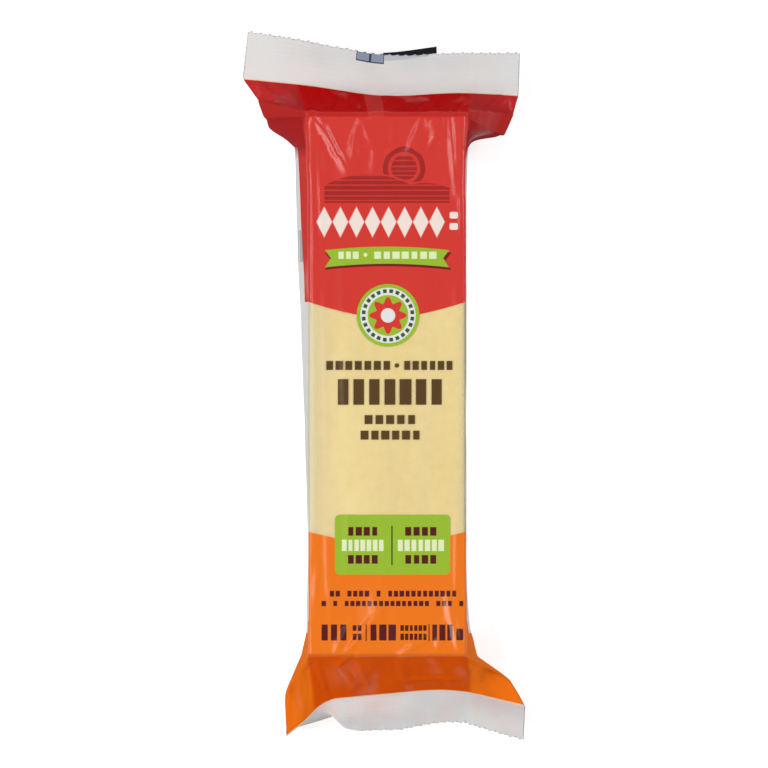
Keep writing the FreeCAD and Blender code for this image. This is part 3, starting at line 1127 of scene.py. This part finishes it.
waves = texture(tree, sheet_vector, 9.0, (1, 0.3, 1), 3.0)
waves = waves + texture(tree, sheet_vector, 40.0) * 0.25
bump = add_node(tree, "ShaderNodeBump", {"Strength": 0.5, "Distance": 0.6 * MM, "Height": waves})
join(tree, colour, film_shader.inputs["Base Color"])
join(tree, alpha, film_shader.inputs["Alpha"])
join(tree, coat, film_shader.inputs["Coat Weight"])
join(tree, out(tree, bump, "Normal"), film_shader.inputs["Normal"])
print("film material has", len(tree.nodes), "nodes")

# %% [markdown]
# ## The flap, and the cheese
#
# The flap is the same film, white where it is not printed with the ends' colours. The cheese is
# pale yellow, a little uneven, with the damp shine that it shows under film. Light that
# scatters inside the cheese would soften it more, but under film the change can't be seen.

# %% Materials of the flap and the cheese
flap_material, tree, flap_shader = new_material("seam_film", 0.35, {"Specular IOR Level": 0.2})
across, along, _ = sheet_axes(tree, flap.data.uv_layers.active.name)
# The flap's ends take the same painted-shade red and orange as the gathers.
colour = paint(tree, WHITE, (along - ALL_ROUND).mask(), SHADED_END_RED)
colour = paint(tree, colour, (along * -1 - ALL_ROUND).mask(), SHADED_END_ORANGE)
colour = paint(tree, colour, (abs(along) - HEAD_SEAL_AT).mask(), WHITE)
colour = paint(tree, colour, (along - HEAD_SEAL_AT - SEAL - 0.1).mask(), STRIP_BLACK)
join(tree, colour, flap_shader.inputs["Base Color"])

DEEP_CHEESE, PALE_CHEESE = linear(222, 196, 122), linear(236, 214, 150)
cheese_material, tree, cheese_shader = new_material(
    "cheddar", 0.42, {"Coat Weight": 0.2, "Coat Roughness": 0.2}
)
object_place = out(tree, add_node(tree, "ShaderNodeTexCoord"), "Object")
patches = texture(tree, object_place, 60.0, (1, 0.5, 1), 3.0)
curds = texture(tree, object_place, 400.0, (1, 1, 1), 2.0)
tone = (patches * 0.7 + curds * 0.3).run("MULTIPLY_ADD", 2.4, -0.7, clamp=True)
colour = paint(tree, DEEP_CHEESE, tone, PALE_CHEESE)
join(tree, colour, cheese_shader.inputs["Base Color"])
bump = add_node(tree, "ShaderNodeBump", {"Strength": 0.3, "Distance": 0.3 * MM, "Height": curds})
join(tree, out(tree, bump, "Normal"), cheese_shader.inputs["Normal"])

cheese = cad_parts["cheese_block"]
for piece, material in ((film, film_material), (flap, flap_material), (cheese, cheese_material)):
    piece.data.materials.clear()
    piece.data.materials.append(material)
print("materials:", [m.name for m in (film_material, flap_material, cheese_material)])

# %% [markdown]
# ## What stands for what
#
# Nothing on this pack moves against anything else, so all of it rides on the one body. The
# film and its flap stand for the model's wrapper.

# %% Hand the pieces over
for piece in (film, flap):
    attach(piece, "root")
    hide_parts("film_wrapper")

# %% [markdown]
# ## Floor, light and camera
#
# The pack lies on a plain white floor, and is seen from straight above, by a camera so far up
# that it has hardly any perspective. Two large soft lights stand for a studio: a key from the left
# and a weaker fill from the right. They stand aside, because glossy film would mirror a light above
# it as one grey veil. A narrow strip near the top draws the bright lines along the creases.

# %% Floor
bpy.ops.mesh.primitive_plane_add(size=6)
floor = bpy.context.object
floor.name = "floor"
floor_material, tree, floor_shader = new_material("floor", 0.9)
floor_shader.inputs["Base Color"].default_value = (0.8, 0.8, 0.8, 1)
floor_shader.inputs["Specular IOR Level"].default_value = 0.0
floor.data.materials.append(floor_material)
rays = tree.nodes.new("ShaderNodeLightPath")
seen = out(tree, rays, "Is Camera Ray").most(out(tree, rays, "Is Glossy Ray"))
seen = seen.most(out(tree, rays, "Is Transmission Ray"))
floor_shader.inputs["Emission Color"].default_value = (1, 1, 1, 1)
join(tree, seen * 0.55, floor_shader.inputs["Emission Strength"])

# %% Lights and world


def area_light(name, place, size, watts, target=(0, 0, 0)):
    bpy.ops.object.light_add(type="AREA", location=place)
    light = bpy.context.object
    light.name = name
    light.data.shape = "RECTANGLE"
    light.data.size, light.data.size_y = size
    light.data.energy = watts
    light.rotation_euler = (Vector(target) - Vector(place)).to_track_quat("-Z", "Y").to_euler()
    return light


area_light("key", (-0.55, -0.2, 0.85), (0.5, 0.4), 5.4)
area_light("fill", (0.6, 0.3, 0.85), (0.7, 0.3), 4.4)
area_light("strip", (-0.3, 0.05, 1.0), (0.7, 0.06), 1.3)

world = bpy.data.worlds.new("studio")
world.use_nodes = True
world.node_tree.nodes["Background"].inputs["Color"].default_value = (0.95, 0.97, 1.0, 1)
world.node_tree.nodes["Background"].inputs["Strength"].default_value = 0.28
bpy.context.scene.world = world
bpy.context.scene.view_settings.view_transform = "Standard"

# %% Camera
HEIGHT_ABOVE = 5.0
FACE_HEIGHT = 0.0325
FIELD = 0.20275  # how much of the face's plane is in view, in metres
SENSOR = 36.0
bpy.ops.object.camera_add(location=(0, 0, HEIGHT_ABOVE), rotation=(0, 0, 0))
camera = bpy.context.object
camera.name = "camera"
camera.data.clip_end = 20.0
camera.data.sensor_width = SENSOR
camera.data.lens = SENSOR * (HEIGHT_ABOVE - FACE_HEIGHT) / FIELD
bpy.context.scene.camera = camera
print("camera lens in mm:", round(camera.data.lens, 1))
